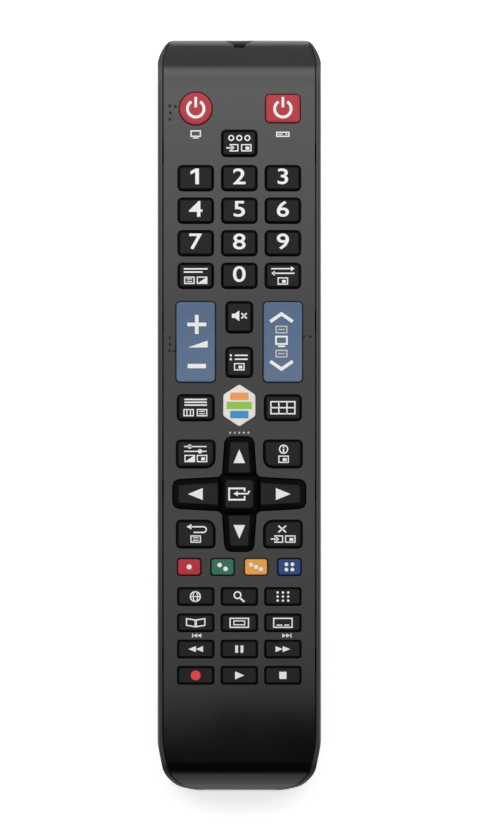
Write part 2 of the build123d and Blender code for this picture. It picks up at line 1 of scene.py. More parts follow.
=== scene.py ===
# %% [markdown]
# # A hand-held remote control
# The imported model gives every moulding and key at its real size, lying on its back with the keys up.
# This lesson dresses it: softer edges, real finishes, printed signs, and the light of a small studio.
# We load the frame first, because every later piece takes its place from it.

# %% Load the frame
import math

import bmesh
import bpy
from mathutils import Matrix, Vector


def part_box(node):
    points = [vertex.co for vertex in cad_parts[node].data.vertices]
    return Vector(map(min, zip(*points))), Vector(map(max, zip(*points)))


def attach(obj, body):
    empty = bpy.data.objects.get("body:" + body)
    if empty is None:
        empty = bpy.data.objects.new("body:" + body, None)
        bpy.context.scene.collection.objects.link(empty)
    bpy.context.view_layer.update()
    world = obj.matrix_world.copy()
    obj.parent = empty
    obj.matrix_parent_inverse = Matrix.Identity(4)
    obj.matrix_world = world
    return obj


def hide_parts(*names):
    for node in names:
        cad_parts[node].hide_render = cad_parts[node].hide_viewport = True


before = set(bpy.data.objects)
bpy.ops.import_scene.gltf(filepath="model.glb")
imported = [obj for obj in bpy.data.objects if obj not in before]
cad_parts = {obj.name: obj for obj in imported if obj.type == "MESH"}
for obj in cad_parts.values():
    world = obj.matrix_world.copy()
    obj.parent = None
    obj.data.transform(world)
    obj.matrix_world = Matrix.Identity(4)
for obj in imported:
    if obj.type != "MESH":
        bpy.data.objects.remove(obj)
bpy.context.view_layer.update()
MM = 0.001

# %% [markdown]
# ## The camera
# The photograph looks straight down at the keys through a long lens: hardly any key shows its
# sides. A tracked camera would do, but a plain look-at matrix keeps the picture's upright side
# along the handset.

# %% Camera
camera_place = Vector((0.2 * MM, -28 * MM, 2400 * MM))
camera_target = Vector((0.2 * MM, 0, 18 * MM))
picture_height = 830
pixels_per_mm = 3.512
sensor = 36.0


def add_object(name, data):
    made = bpy.data.objects.new(name, data)
    bpy.context.scene.collection.objects.link(made)
    return made


def aim(piece, place, target):
    back = (place - target).normalized()
    right = Vector((0, 1, 0)).cross(back).normalized()
    up = back.cross(right)
    turn = Matrix((right, up, back)).transposed().to_4x4()
    piece.matrix_world = Matrix.Translation(place) @ turn


lens_data = bpy.data.cameras.new("camera")
lens_data.sensor_width = sensor
view_distance = (camera_place - camera_target).length
lens_data.lens = pixels_per_mm / MM * view_distance / picture_height * sensor
lens_data.clip_start = 0.1
camera = add_object("camera", lens_data)
aim(camera, camera_place, camera_target)
bpy.context.scene.camera = camera
print("lens", round(lens_data.lens, 1), "mm")

# %% [markdown]
# ## Shader sums as sums
# A material is easier to read when its maths looks like maths. The class below wraps one socket,
# and each operator adds a Math node behind the scenes. Settings come first, then the links.

# %% A socket that can be added, multiplied and compared


def linear(value):
    """One screen value from 0 to 255 as the linear light that a shader works in."""
    share = value / 255
    return share / 12.92 if share <= 0.04045 else ((share + 0.055) / 1.055) ** 2.4


def tone(red, green, blue):
    return (linear(red), linear(green), linear(blue), 1.0)


def shade(colour, factor, lift=0.0):
    """The colour made paler or darker by a factor."""
    return tuple(min(1.0, part * factor + lift) for part in colour[:3]) + (1.0,)


class Sum:
    """A number that varies over the surface; operators on it add Math nodes."""

    def __init__(self, finish, socket):
        self.finish = finish
        self.socket = socket

    def step(self, operation, first, second=0.5):
        return self.finish.node("Math", {0: first, 1: second}, operation=operation)

    def __add__(self, other):
        return self.step("ADD", self, other)

    def __sub__(self, other):
        return self.step("SUBTRACT", self, other)

    def __mul__(self, other):
        return self.step("MULTIPLY", self, other)

    def __gt__(self, other):
        return self.step("GREATER_THAN", self, other)

    def __lt__(self, other):
        return self.step("LESS_THAN", self, other)

    def absolute(self):
        return self.step("ABSOLUTE", self)


class Finish:
    """One material, built from a few calls: fixed values, nodes and links to the shader."""

    def __init__(self, name, **fixed):
        self.material = bpy.data.materials.new(name)
        self.material.use_nodes = True
        self.tree = self.material.node_tree
        self.shader = self.tree.nodes["Principled BSDF"]
        for socket, value in fixed.items():
            self.shader.inputs[socket.replace("_", " ")].default_value = value

    def node(self, kind, inputs, output=0, **settings):
        made = self.tree.nodes.new("ShaderNode" + kind)
        for name, value in settings.items():
            setattr(made, name, value)
        for name, value in inputs.items():
            self.feed(made.inputs[name], value)
        return Sum(self, made.outputs[output])

    def feed(self, socket, value):
        if isinstance(value, Sum):
            self.tree.links.new(value.socket, socket)
        else:
            socket.default_value = value

    def place(self):
        return self.node("TexCoord", {}, "Object")

    def axis(self, name):
        return self.node("SeparateXYZ", {0: self.place()}, name)

    def facing(self, name):
        """One part of the surface normal: facing("Z") is 1 on a flat top, 0 on a side wall."""
        return self.node("SeparateXYZ", {0: self.node("NewGeometry", {}, "Normal")}, name)

    def noise(self, size, detail=2.0, stretch=(1.0, 1.0, 1.0)):
        """Soft noise whose blotches are about the given size in metres."""
        mapped = self.node("Mapping", {"Vector": self.place(), "Scale": stretch})
        return self.node("TexNoise", {"Vector": mapped, "Scale": 1 / size, "Detail": detail})

    def range(self, value, low, high, from_low=0.3, from_high=0.7):
        return self.node("MapRange", {"Value": value, "From Min": from_low,
                                      "From Max": from_high, "To Min": low, "To Max": high})

    def mix(self, share, first, second):
        return self.node("Mix", {0: share, 6: first, 7: second}, 2, data_type="RGBA")

    def bump(self, height, strength, depth):
        self.vary(Normal=self.node("Bump", {"Height": height, "Strength": strength,
                                            "Distance": depth}))

    def vary(self, **varying):
        for socket, value in varying.items():
            self.feed(self.shader.inputs[socket.replace("_", " ")], value)

# %% [markdown]
# ## Moulded plastics
# The front cover is polished nearly black plastic: its grey in the picture is the soft light it
# mirrors, which is why it darkens towards the tail. The rear shell is spark-eroded and duller.
# The keys are satin. All three need a little unevenness, or they look like paint on glass.

# %% Plastic finishes


def plastic(name, colour, rough, spread, grain, grain_depth, blotch=0.02, tint=0.06,
            mirror=0.5):
    """A moulded plastic: colour, how dull it is and by how much that varies, and its grain."""
    finish = Finish(name, IOR=1.5, Specular_IOR_Level=mirror)
    cloud = finish.noise(blotch, 3.0)
    finish.vary(Base_Color=finish.mix(finish.range(cloud, 0, 1), shade(colour, 1 - tint),
                                      shade(colour, 1 + tint, 0.001)),
                Roughness=finish.range(cloud, rough - spread, rough + spread))
    finish.bump(finish.noise(grain, 2.0), 0.6, grain_depth)
    return finish.material


def polished_cover(polished_from, straight_half):
    """Polished black on the outside; the walls of the openings and of the seam are left dull, and
    their darker black is painted shade in these recesses.
    """
    finish = Finish("cover_plastic", IOR=1.6)
    cloud = finish.noise(20 * MM, 3.0)
    low_wall = (finish.axis("Z") < polished_from) * (finish.axis("Y").absolute() < straight_half)
    side_wall = finish.facing("X").absolute() > 0.5
    dull_shaded_wall = finish.range(low_wall + side_wall, 0, 1, 0, 1)
    polish = finish.mix(finish.range(cloud, 0, 1), tone(5, 5, 5), tone(7, 7, 7))
    # The darker base colour on the walls is painted shade in the seam and the openings; their added
    # roughness is their real dull finish.
    finish.vary(Base_Color=finish.mix(dull_shaded_wall, polish, tone(2, 2, 2)),
                Roughness=finish.range(cloud, 0.09, 0.11) + dull_shaded_wall * 0.8)
    finish.bump(finish.noise(0.6 * MM, 2.0), 0.6, 0.001 * MM)
    return finish.material


cover_plastic = polished_cover(19.4 * MM, 93.5 * MM)
shell_plastic = plastic("shell_plastic", tone(33, 33, 34), 0.34, 0.03, 0.35 * MM, 0.004 * MM,
                        mirror=0.66)
window_plastic = plastic("window_plastic", tone(8, 5, 8), 0.12, 0.01, 2 * MM, 0.001 * MM,
                         mirror=0.08)


def key_finish(name, top, side, rough=0.5, mirror=0.16, rim_shade_from=0.35, rim_shade_to=0.62):
    """A key whose top keeps its own colour, while its sides and rounded rim, which turn away from the
    light, get a near-black colour that is painted shade.
    """
    finish = Finish(name, IOR=1.5, Specular_IOR_Level=mirror)
    cloud = finish.noise(4 * MM, 3.0)
    grain = finish.noise(0.3 * MM, 2.0)
    # Painted shade: where the surface faces up less than the given range, the colour goes over to the
    # dark side colour.
    unshaded_top_share = finish.range(finish.facing("Z"), 0, 1, rim_shade_from, rim_shade_to)
    blotched = finish.mix(finish.range(cloud, 0, 1), top, shade(top, 1.08))
    finish.vary(Base_Color=finish.mix(unshaded_top_share, side, blotched),
                Roughness=finish.range(grain, rough - 0.04, rough + 0.04))
    finish.bump(grain, 0.6, 0.004 * MM)
    return finish.material


# Each key gets its top colour and a much darker side colour; the side colour is painted shade on its
# sides and rim.
key_rubber = key_finish("key_rubber", tone(38, 38, 39), tone(4, 4, 4), 0.55, 0.06, 0.92, 0.99)
# A wider band of painted shade round the rim, for keys that show a dark border.
painted_dark_rim = {"rim_shade_from": 0.72, "rim_shade_to": 0.93}
coloured = {name: key_finish(name, tone(*top), tone(*side), **settings)
            for name, top, side, settings in (
                ("power_red", (177, 59, 69), (40, 6, 10), {}),
                ("rocker_blue", (74, 99, 131), (8, 14, 26),
                 {"rough": 0.3, "mirror": 0.45, **painted_dark_rim}),
                ("letter_red", (182, 52, 63), (26, 4, 6), painted_dark_rim),
                ("letter_green", (56, 112, 90), (4, 15, 11), painted_dark_rim),
                ("letter_orange", (232, 163, 80), (44, 24, 6), painted_dark_rim),
                ("letter_blue", (46, 72, 123), (4, 8, 22), painted_dark_rim),
                ("hub_white", (230, 226, 216), (60, 60, 58), {}))}
print("plastics", len(bpy.data.materials))

# %% [markdown]
# ## Inks and inside materials
# Signs on keys are thick pad-printed ink, so they get a colour of their own and a dull face.
# Inside there is silicone rubber, a lacquered board, metal and the cells' plain sleeves.

# %% Inks and the inside


def ink(name, colour):
    finish = Finish(name, IOR=1.45)
    blotched = finish.range(finish.noise(0.5 * MM), 0, 1)
    finish.vary(Base_Color=finish.mix(blotched, shade(colour, 0.93), shade(colour, 1.03)),
                Roughness=finish.range(blotched, 0.5, 0.6))
    return finish.material


white_ink = ink("white_ink", tone(240, 240, 238))
grey_ink = ink("grey_ink", tone(196, 196, 194))
orange_ink = ink("orange_ink", tone(244, 160, 88))
green_ink = ink("green_ink", tone(146, 200, 84))
blue_ink = ink("blue_ink", tone(44, 146, 204))
record_ink = ink("record_ink", tone(232, 62, 70))
dark_ink = ink("dark_ink", tone(16, 16, 17))


def metal(name, colour, rough, brushed):
    finish = Finish(name, Metallic=1.0)
    lines = finish.noise(0.25 * MM, 3.0, brushed)
    share = finish.range(lines, 0, 1)
    finish.vary(Base_Color=finish.mix(share, shade(colour, 0.82), colour),
                Roughness=finish.range(lines, rough - 0.06, rough + 0.06))
    finish.bump(lines, 0.4, 0.004 * MM)
    return finish.material


spring_steel = metal("spring_steel", tone(206, 206, 204), 0.28, (1.0, 1.0, 1.0))
contact_steel = metal("contact_steel", tone(212, 206, 190), 0.3, (0.1, 1.0, 1.0))
mat_rubber = plastic("mat_rubber", tone(34, 34, 35), 0.75, 0.05, 0.5 * MM, 0.01 * MM)
chip_resin = plastic("chip_resin", tone(26, 26, 27), 0.6, 0.04, 0.15 * MM, 0.01 * MM)


def board_lacquer():
    """Green lacquer over copper tracks that run along the board and show as paler lines."""
    finish = Finish("board_lacquer", IOR=1.5)
    across = finish.axis("X")
    drift = finish.noise(9 * MM, 0.0, (1.0, 0.25, 1.0))
    wave = finish.node("Math", {0: (across + drift * 0.006) * (2 * math.pi / (1.9 * MM))},
                       operation="SINE")
    track = finish.range(wave, 0, 1, 0.35, 0.5)
    finish.vary(Base_Color=finish.mix(track, tone(14, 70, 40), tone(34, 118, 66)),
                Roughness=finish.range(track, 0.34, 0.26, 0, 1))
    finish.bump(track, 0.5, 0.02 * MM)
    return finish.material


def sleeve(name, middle_y, direction):
    """A cell's charcoal sleeve with a pale band near the nub; both ends show the steel can."""
    half_sleeve = 21.2 * MM
    finish = Finish(name)
    along = (finish.axis("Y") - middle_y) * direction
    steel = along.absolute() > half_sleeve
    band = (along > 11 * MM) * (along < half_sleeve)
    speck = finish.noise(0.4 * MM)
    print_colour = finish.mix(band, tone(38, 40, 44), tone(176, 178, 180))
    finish.vary(Base_Color=finish.mix(steel, print_colour, tone(206, 206, 204)),
                Metallic=finish.range(steel + band * 0.6, 0.1, 1, 0, 1),
                Roughness=finish.range(speck, 0.24, 0.34))
    finish.bump(speck, 0.4, 0.003 * MM)
    return finish.material


def capacitor_sleeve(low, high):
    """A dark blue sleeve round a small can whose upper end is bare metal."""
    finish = Finish("can_sleeve")
    level = finish.axis("Z")
    bare = (level < low + 0.35 * MM) + (level > high - 0.35 * MM)
    speck = finish.noise(0.4 * MM)
    finish.vary(Base_Color=finish.mix(bare, tone(24, 30, 66), tone(200, 200, 198)),
                Metallic=finish.range(bare, 0, 1, 0, 1), Roughness=finish.range(speck, 0.28, 0.38))
    finish.bump(speck, 0.4, 0.003 * MM)
    return finish.material


can_low, can_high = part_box("reservoir_capacitor")
can_sleeve = capacitor_sleeve(can_low[2], can_high[2])
board_green = board_lacquer()
emitter_resin = plastic("emitter_resin", tone(150, 152, 176), 0.08, 0.01, 3 * MM, 0.001 * MM)
print("materials", len(bpy.data.materials))

# %% [markdown]
# ## Modelling helpers
# Every new piece is shaped as by hand: something is selected in edit mode by its place, and an
# operator acts on it. An operator touches all that is selected, so each helper clears first.

# %% Helpers
hair = 0.01 * MM


def only(piece):
    bpy.ops.object.select_all(action="DESELECT")
    piece.select_set(True)
    bpy.context.view_layer.objects.active = piece


def open_mesh(piece):
    only(piece)
    bpy.ops.object.mode_set(mode="EDIT")


def close_mesh():
    bpy.ops.object.mode_set(mode="OBJECT")


def pick(mode, test):
    """In edit mode, selects the vertices, edges or faces for which the test holds."""
    mesh = bmesh.from_edit_mesh(bpy.context.edit_object.data)
    bpy.ops.mesh.select_mode(type={"verts": "VERT", "edges": "EDGE", "faces": "FACE"}[mode])
    bpy.ops.mesh.select_all(action="DESELECT")
    chosen = 0
    for part in getattr(mesh, mode):
        if test(part):
            part.select_set(True)
            chosen += 1
    mesh.select_flush_mode()
    bmesh.update_edit_mesh(bpy.context.edit_object.data)
    return chosen


def pick_all():
    bpy.ops.mesh.select_all(action="SELECT")


def cut_across(y):
    bpy.ops.mesh.bisect(plane_co=(0, y, 0), plane_no=(0, 1, 0))


def middle(edge):
    return (edge.verts[0].co + edge.verts[1].co) / 2


def top_face(part):
    mesh = bmesh.from_edit_mesh(bpy.context.edit_object.data)
    highest = max(vertex.co.z for vertex in mesh.verts)
    return part.normal.z > 0.9 and part.calc_center_median().z > highest - hair


def extrude_up(height):
    bpy.ops.mesh.extrude_region_move(TRANSFORM_OT_translate={"value": (0, 0, height)})


def resize(width_factor, height_factor, centre):
    bpy.ops.transform.resize(value=(width_factor, height_factor, 1), center_override=centre)


def round_edges(width, steps):
    bpy.ops.mesh.bevel(offset=width, segments=steps, affect="EDGES")


def modify(piece, kind, **settings):
    """Adds one modifier with its settings and applies it."""
    made = piece.modifiers.new(kind.lower(), kind)
    for name, value in settings.items():
        setattr(made, name, value)
    only(piece)
    bpy.ops.object.modifier_apply(modifier=made.name)


def finish_piece(piece, material, body, angle=32):
    """Outward normals, shading, material and body for a piece that is done. The weighted
    normals follow the large faces, so a flat stays even beside its rounded edges."""
    open_mesh(piece)
    pick_all()
    bpy.ops.mesh.normals_make_consistent(inside=False)
    close_mesh()
    bpy.ops.object.shade_smooth_by_angle(angle=math.radians(angle))
    modify(piece, "WEIGHTED_NORMAL", weight=80, keep_sharp=True)
    piece.data.materials.clear()
    piece.data.materials.append(material)
    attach(piece, body)
    return piece


def bake_place(piece):
    only(piece)
    bpy.ops.object.transform_apply(location=True, rotation=True, scale=True)


def begin_piece(name):
    """Takes up the primitive just added: names it, bakes its place and opens it for editing."""
    piece = bpy.context.object
    piece.name = name
    bake_place(piece)
    open_mesh(piece)
    return piece


def cad_copy(node, name):
    """A copy of a CAD node's mesh with its loose triangles joined into whole faces."""
    piece = add_object(name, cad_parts[node].data.copy())
    open_mesh(piece)
    pick_all()
    bpy.ops.mesh.remove_doubles(threshold=0.002 * MM)
    bpy.ops.mesh.dissolve_limited(angle_limit=math.radians(0.5))
    close_mesh()
    return piece


def soften(piece, width, segments, angle=25):
    """Rounds every edge that is sharper than the angle, and keeps the flats looking flat."""
    modify(piece, "BEVEL", width=width, segments=segments, limit_method="ANGLE",
           angle_limit=math.radians(angle), use_clamp_overlap=True)

# %% [markdown]
# ## The keys
# A key is a stem, a flange that the cover traps, and a head with soft corners. It is box-modelled
# from a cube: the top face is extruded and resized for each level, then the head's upright edges
# and its top rim are rounded with bevels. One key of each size is modelled and the rest are copies.

# %% Key sizes
flange_lip = 0.5 * MM
key_gap = 0.2 * MM
flange_height = 0.8 * MM
stem_width = 3.0 * MM
small_stem_width = 2.2 * MM
stem_height = 1.45 * MM
key_corner = 1.1 * MM
wide_corner = 2.6 * MM
small_corner = 0.95 * MM
rim_round = 0.95 * MM
small_rim = 0.75 * MM
colour_rim = 0.6 * MM
corner_steps = 7
rim_steps = 5


def key_levels(node):
    """Centre, head size and heights of a key, read from its CAD box."""
    low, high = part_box(node)
    centre = Vector(((low[0] + high[0]) / 2, (low[1] + high[1]) / 2, 0))
    lip = flange_lip + key_gap
    width = high[0] - low[0] - 2 * lip
    height = high[1] - low[1] - 2 * lip
    return centre, width, height, low[2], high[2]


def head_edge(edge, flange_top):
    """True for an upright edge of the head."""
    upright = abs(edge.verts[0].co.z - edge.verts[1].co.z) > 0.5 * MM
    return upright and middle(edge).z > flange_top


def corner_test(centre, side_x, side_y, flange_top):
    """A test for the head's upright edge on one side in X and one in Y."""
    def test(edge):
        place = middle(edge) - centre
        return head_edge(edge, flange_top) and place.x * side_x > 0 and place.y * side_y > 0
    return test


def raise_head(centre, size, stem_size, foot, top):
    """Pulls the flange and then the head up from the stem's top face; returns the height
    at which the head begins."""
    lip = 2 * (flange_lip + key_gap)
    wide, tall = (part + lip for part in size)
    pick("faces", top_face)
    extrude_up(0)
    resize(wide / stem_size[0], tall / stem_size[1], centre)
    extrude_up(flange_height)
    extrude_up(0)
    resize(size[0] / wide, size[1] / tall, centre)
    flange_top = foot + stem_height + flange_height
    extrude_up(top - flange_top)
    return flange_top


def round_rim(rim):
    pick("faces", top_face)
    bpy.ops.mesh.region_to_loop()
    round_edges(rim, rim_steps)
    close_mesh()


def box_key(node, corner, stem, wide_at=None, rim=rim_round):
    """A square-cornered key, box-modelled at its place; one corner may be wider."""
    centre, width, height, foot, top = key_levels(node)
    bpy.ops.mesh.primitive_cube_add(size=1, location=(centre.x, centre.y, foot + stem_height / 2),
                                    scale=(stem, stem, stem_height))
    piece = begin_piece(node + "_cap")
    flange_top = raise_head(centre, (width, height), (stem, stem), foot, top)
    for side_x, side_y in ((1, 1), (1, -1), (-1, 1), (-1, -1)):
        pick("edges", corner_test(centre, side_x, side_y, flange_top))
        offset = wide_corner if wide_at == (side_x, side_y) else corner
        round_edges(offset, corner_steps)
    round_rim(rim)
    return piece


key_pieces = {}


def stand_for(node):
    """The piece hides its CAD node."""
    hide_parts(node)


def keep_key(node, piece, material):
    piece.name = node + "_cap"
    finish_piece(piece, material, node)
    stand_for(node)
    key_pieces[node] = piece


def repeat_key(model, node, material):
    """The same key again at another node's place."""
    step = key_levels(node)[0] - key_levels(model)[0]
    piece = add_object(node + "_cap", key_pieces[model].data.copy())
    piece.data.transform(Matrix.Translation(step))
    keep_key(node, piece, material)


digit_nodes = ["digit_" + str(number) for number in range(10)]
keep_key("digit_1", box_key("digit_1", key_corner, stem_width), key_rubber)
for node in digit_nodes[2:] + ["digit_0", "text_key", "last_channel_key"]:
    repeat_key("digit_1", node, key_rubber)
for node, material in (("source_key", key_rubber), ("set_power_key", coloured["power_red"]),
                       ("mute_key", key_rubber), ("channel_list_key", key_rubber),
                       ("menu_key", key_rubber)):
    keep_key(node, box_key(node, key_corner, stem_width), material)
repeat_key("menu_key", "guide_key", key_rubber)
for node, inward in (("tools_key", (1, -1)), ("info_key", (-1, -1)),
                     ("return_key", (1, 1)), ("exit_key", (-1, 1))):
    keep_key(node, box_key(node, key_corner, stem_width, inward), key_rubber)
keep_key("red_key", box_key("red_key", small_corner, small_stem_width, rim=colour_rim),
         coloured["letter_red"])
for node, colour in (("green_key", "letter_green"), ("yellow_key", "letter_orange"),
                     ("blue_key", "letter_blue")):
    repeat_key("red_key", node, coloured[colour])
keep_key("internet_key", box_key("internet_key", small_corner, small_stem_width, rim=small_rim),
         key_rubber)
for node in ("search_key", "keypad_key", "manual_key", "picture_size_key", "subtitle_key",
             "rewind_key", "pause_key", "forward_key", "record_key", "play_key", "stop_key"):
    repeat_key("internet_key", node, key_rubber)
print("box keys", len(key_pieces))

# %% [markdown]
# ## Round and six-sided keys
# These start from a circle of the right number of corners instead of a cube. The face is pulled
# up into a head, and its underside gets the flange and the stem.

# %% Round and six-sided keys


def ring_key(node, corners, width, height, corner, stem, rim=rim_round):
    """A key on a circle primitive, resized to its width and height."""
    centre, _, _, foot, top = key_levels(node)
    bpy.ops.mesh.primitive_circle_add(vertices=corners, radius=stem / 2, fill_type="NGON",
                                      location=(centre.x, centre.y, foot))
    piece = begin_piece(node + "_cap")
    start = max(vertex.co.x for vertex in piece.data.vertices) - centre.x
    pick("faces", lambda face: True)
    extrude_up(stem_height)
    flange_top = raise_head(centre, (width, height), (2 * start, stem), foot, top)
    if corner:
        pick("edges", lambda edge: head_edge(edge, flange_top))
        round_edges(corner, corner_steps)
    round_rim(rim)
    return piece


power_width = 9.4 * MM
keep_key("power_key", ring_key("power_key", 72, power_width, power_width, 0, stem_width),
         coloured["power_red"])
hub_width = key_levels("hub_key")[1]
hub_height = 12.2 * MM
hub_corner = 0.55 * MM
hub_rim = 0.9 * hub_corner
keep_key("hub_key", ring_key("hub_key", 6, hub_width, hub_height, hub_corner, stem_width, hub_rim),
         coloured["hub_white"])

# %% [markdown]
# ## Direction pad
# The four arrows and the middle key are sloped blocks that meet in a cross. The CAD faces are
# already right, so their copies only need soft edges.

# %% Direction pad keys
pad_rim, pad_rim_steps, pad_rim_angle = 0.35 * MM, 3, 18
for node in ("up_key", "down_key", "left_key", "right_key", "enter_key"):
    piece = cad_copy(node, node + "_cap")
    soften(piece, pad_rim, pad_rim_steps, pad_rim_angle)
    keep_key(node, piece, key_rubber)

# %% [markdown]
# ## Rockers
# A rocker is a long key whose top is hollowed along its length. The CAD copy gives the flange, the
# rib and both stems. Its chamfered head is cut off and pulled up anew, hollowed in steps, and gets
# a round rim, so that its sides stay straight from end to end.

# %% Rockers
rocker_dish = 0.45 * MM
rocker_neck = 1.2 * MM
rocker_cuts = 16
rocker_rim = 0.5 * MM


def rocker_cap(node):
    centre, _, height, _, top = key_levels(node)
    neck = top - rocker_neck
    piece = cad_copy(node, node + "_cap")
    open_mesh(piece)
    pick_all()
    bpy.ops.mesh.bisect(plane_co=(0, 0, neck), plane_no=(0, 0, 1), use_fill=True, clear_outer=True)
    pick("faces", top_face)
    extrude_up(rocker_neck)
    for step in range(1, rocker_cuts):
        pick("faces", lambda face: face.calc_center_median().z > neck + hair)
        level = centre.y + height * (step / rocker_cuts - 0.5)
        cut_across(level)
    mesh = bmesh.from_edit_mesh(piece.data)
    for vertex in mesh.verts:
        if vertex.co.z > top - hair:
            share = abs(vertex.co.y - centre.y) / (height / 2)
            vertex.co.z -= rocker_dish * (1 - share * share)
    mesh.normal_update()
    pick("faces", lambda face: face.normal.z > 0.9
         and face.calc_center_median().z > top - rocker_dish - hair)
    bpy.ops.mesh.region_to_loop()
    round_edges(rocker_rim, rim_steps)
    close_mesh()
    return piece


for node in ("volume_rocker", "channel_rocker"):
    keep_key(node, rocker_cap(node), coloured["rocker_blue"])
print("keys", len(key_pieces))

# %% [markdown]
# ## Casing, door and window
# The mouldings keep the shape of the frame. Its ends come as short chords, which would break a
# reflection into stripes, so both ends are lifted onto true arcs. Then each edge gets a small
# radius, because a moulded edge is never knife-sharp and it catches the light along the seam.

# %% Profile of the front
head_corners = [(80, 19.45, 0), (97, 19.45, 22), (105.4, 17.05, 3.5), (107, 13.95, 5), (107, 9, 0)]
tail_corners = [(-80, 19.45, 0), (-100.7, 19.45, 8), (-104.5, 17.45, 9.5), (-107, 14.4, 4.8),
                (-107, 9, 0)]
arc_steps = 10


def rounded_run(corners):
    """The corners' run with a true arc at each corner that has a radius."""
    run = [Vector(corners[0][:2])]
    for before, corner, after in zip(corners, corners[1:], corners[2:]):
        here = Vector(corner[:2])
        back = (Vector(before[:2]) - here).normalized()
        ahead = (Vector(after[:2]) - here).normalized()
        half_angle = back.angle(ahead) / 2
        tangent = corner[2] / math.tan(half_angle)
        centre = here + (back + ahead).normalized() * (corner[2] / math.sin(half_angle))
        start = here + back * tangent - centre
        end = here + ahead * tangent - centre
        for step in range(arc_steps + 1):
            share = step / arc_steps
            spoke = (start * (1 - share) + end * share).normalized() * corner[2]
            run.append(centre + spoke)
    return run + [Vector(corners[-1][:2])]


def height_on(run, y):
    for first, second in zip(run, run[1:]):
        low, high = sorted((first.x, second.x))
        if low <= y <= high and high > low:
            share = (y - first.x) / (second.x - first.x)
            return first.y * (1 - share) + second.y * share
    return None


def end_cuts(corners):
    """Where to cut across an end: at each point of its run, apart from points too close together."""
    closest = 0.12
    last = 106.45
    cuts = []
    for point in rounded_run(corners)[1:-1]:
        if abs(point.x) < last and (not cuts or abs(point.x - cuts[-1]) > closest):
            cuts.append(point.x)
    return cuts


def frame_height(y):
    """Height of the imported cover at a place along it, in millimetres, found by a ray from above."""
    probe_x = 8 * MM
    hit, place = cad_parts["top_cover"].ray_cast(
        Vector((probe_x, y * MM, 30 * MM)), Vector((0, 0, -1)))[:2]
    return place.z / MM if hit else None


def smooth_end(piece, corners):
    """Cuts a moulding across at one end, lifts it from its chords onto the arcs, and joins
    what lies between two cuts, so that the light runs over the end without a step."""
    low_limit = 14.5 * MM
    wide = 8 * MM
    run = rounded_run(corners)
    cuts = end_cuts(corners)
    low, high = sorted((cuts[0] * MM, cuts[-1] * MM))
    open_mesh(piece)
    for y in cuts:
        pick_all()
        cut_across(y * MM)
    mesh = bmesh.from_edit_mesh(piece.data)
    largest = 0
    for vertex in mesh.verts:
        if low - hair < vertex.co.y < high + hair and vertex.co.z > low_limit:
            wanted = height_on(run, vertex.co.y / MM)
            present = frame_height(vertex.co.y / MM)
            if wanted and present:
                vertex.co.z += (wanted - present) * MM
                largest = max(largest, abs(wanted - present))

    def old_chord(edge):
        """True for an edge right across the end that isn't one of the cuts."""
        first, second = edge.verts[0].co, edge.verts[1].co
        across = abs(first.y - second.y) < hair and abs(first.x - second.x) > wide
        inside = low - hair < first.y < high + hair and first.z > low_limit
        return (across and inside and all(face.normal.z > 0.2 for face in edge.link_faces)
                and all(abs(first.y - y * MM) > hair for y in cuts))

    mesh.normal_update()
    chords = pick("edges", old_chord)
    bpy.ops.mesh.dissolve_edges(use_verts=True)
    close_mesh()
    print(piece.name, "cuts", len(cuts), "chords", chords, "largest lift", round(largest, 2), "mm")


# %% Casing
casing = {node: cad_copy(node, node + "_moulding")
          for node in ("top_cover", "rear_shell", "battery_door")}
for node in ("top_cover", "rear_shell"):
    for corners in (head_corners, tail_corners):
        smooth_end(casing[node], corners)
for node, material, radius, body in (("top_cover", cover_plastic, 0.3 * MM, "casing"),
                                     ("rear_shell", shell_plastic, 0.15 * MM, "casing"),
                                     ("battery_door", shell_plastic, 0.12 * MM, "battery_door")):
    soften(casing[node], radius, 2, 35)
    finish_piece(casing[node], material, body)
    stand_for(node)

# %% [markdown]
# ## Cells and springs
# A slim cell is a steel can in a printed sleeve that is shrunk over both ends. It starts as a
# cylinder; insets and extrusions sink the crimp and raise the nub. A spring is one round of wire
# that a screw modifier winds, then it is drawn in towards its tip, so that it can go flat.

# %% Two cells and two springs
cell_radius = 5.25 * MM
cell_length = 44.5 * MM
nub_radius = 1.9 * MM
nub_height = 0.8 * MM
can_length = cell_length - nub_height
crimp = 0.3 * MM
crimp_rim = 0.55 * MM
nub_seat = 0.25 * MM
foot_rim = 0.6 * MM
foot_groove = 0.4 * MM
foot_depth = 0.2 * MM
cells_low, cells_high = (Vector(corner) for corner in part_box("battery_cells"))
cell_height = (cells_low.z + cells_high.z) / 2


def cell_body(name):
    """A cell that stands upright at the origin with its nub up."""
    bpy.ops.mesh.primitive_cylinder_add(vertices=56, radius=cell_radius, depth=can_length,
                                        location=(0, 0, can_length / 2))
    piece = begin_piece(name)
    pick("faces", top_face)
    bpy.ops.mesh.inset(thickness=crimp_rim)
    extrude_up(-crimp)
    bpy.ops.mesh.inset(thickness=cell_radius - crimp_rim - nub_radius - nub_seat)
    extrude_up(crimp)
    bpy.ops.mesh.inset(thickness=nub_seat)
    extrude_up(nub_height)
    pick("faces", lambda face: face.normal.z < -0.9)
    bpy.ops.mesh.inset(thickness=foot_rim)
    extrude_up(foot_depth)
    bpy.ops.mesh.inset(thickness=foot_groove)
    extrude_up(-foot_depth)
    close_mesh()
    soften(piece, 0.14 * MM, 3, 40)
    return piece


def lay_down(piece, x, y, direction):
    """Turns an upright piece so that its top points along +Y (1) or -Y (-1), at its foot's place."""
    turn = Matrix.Rotation(math.radians(-90 * direction), 4, "X")
    piece.data.transform(Matrix.Translation((x, y, cell_height)) @ turn)


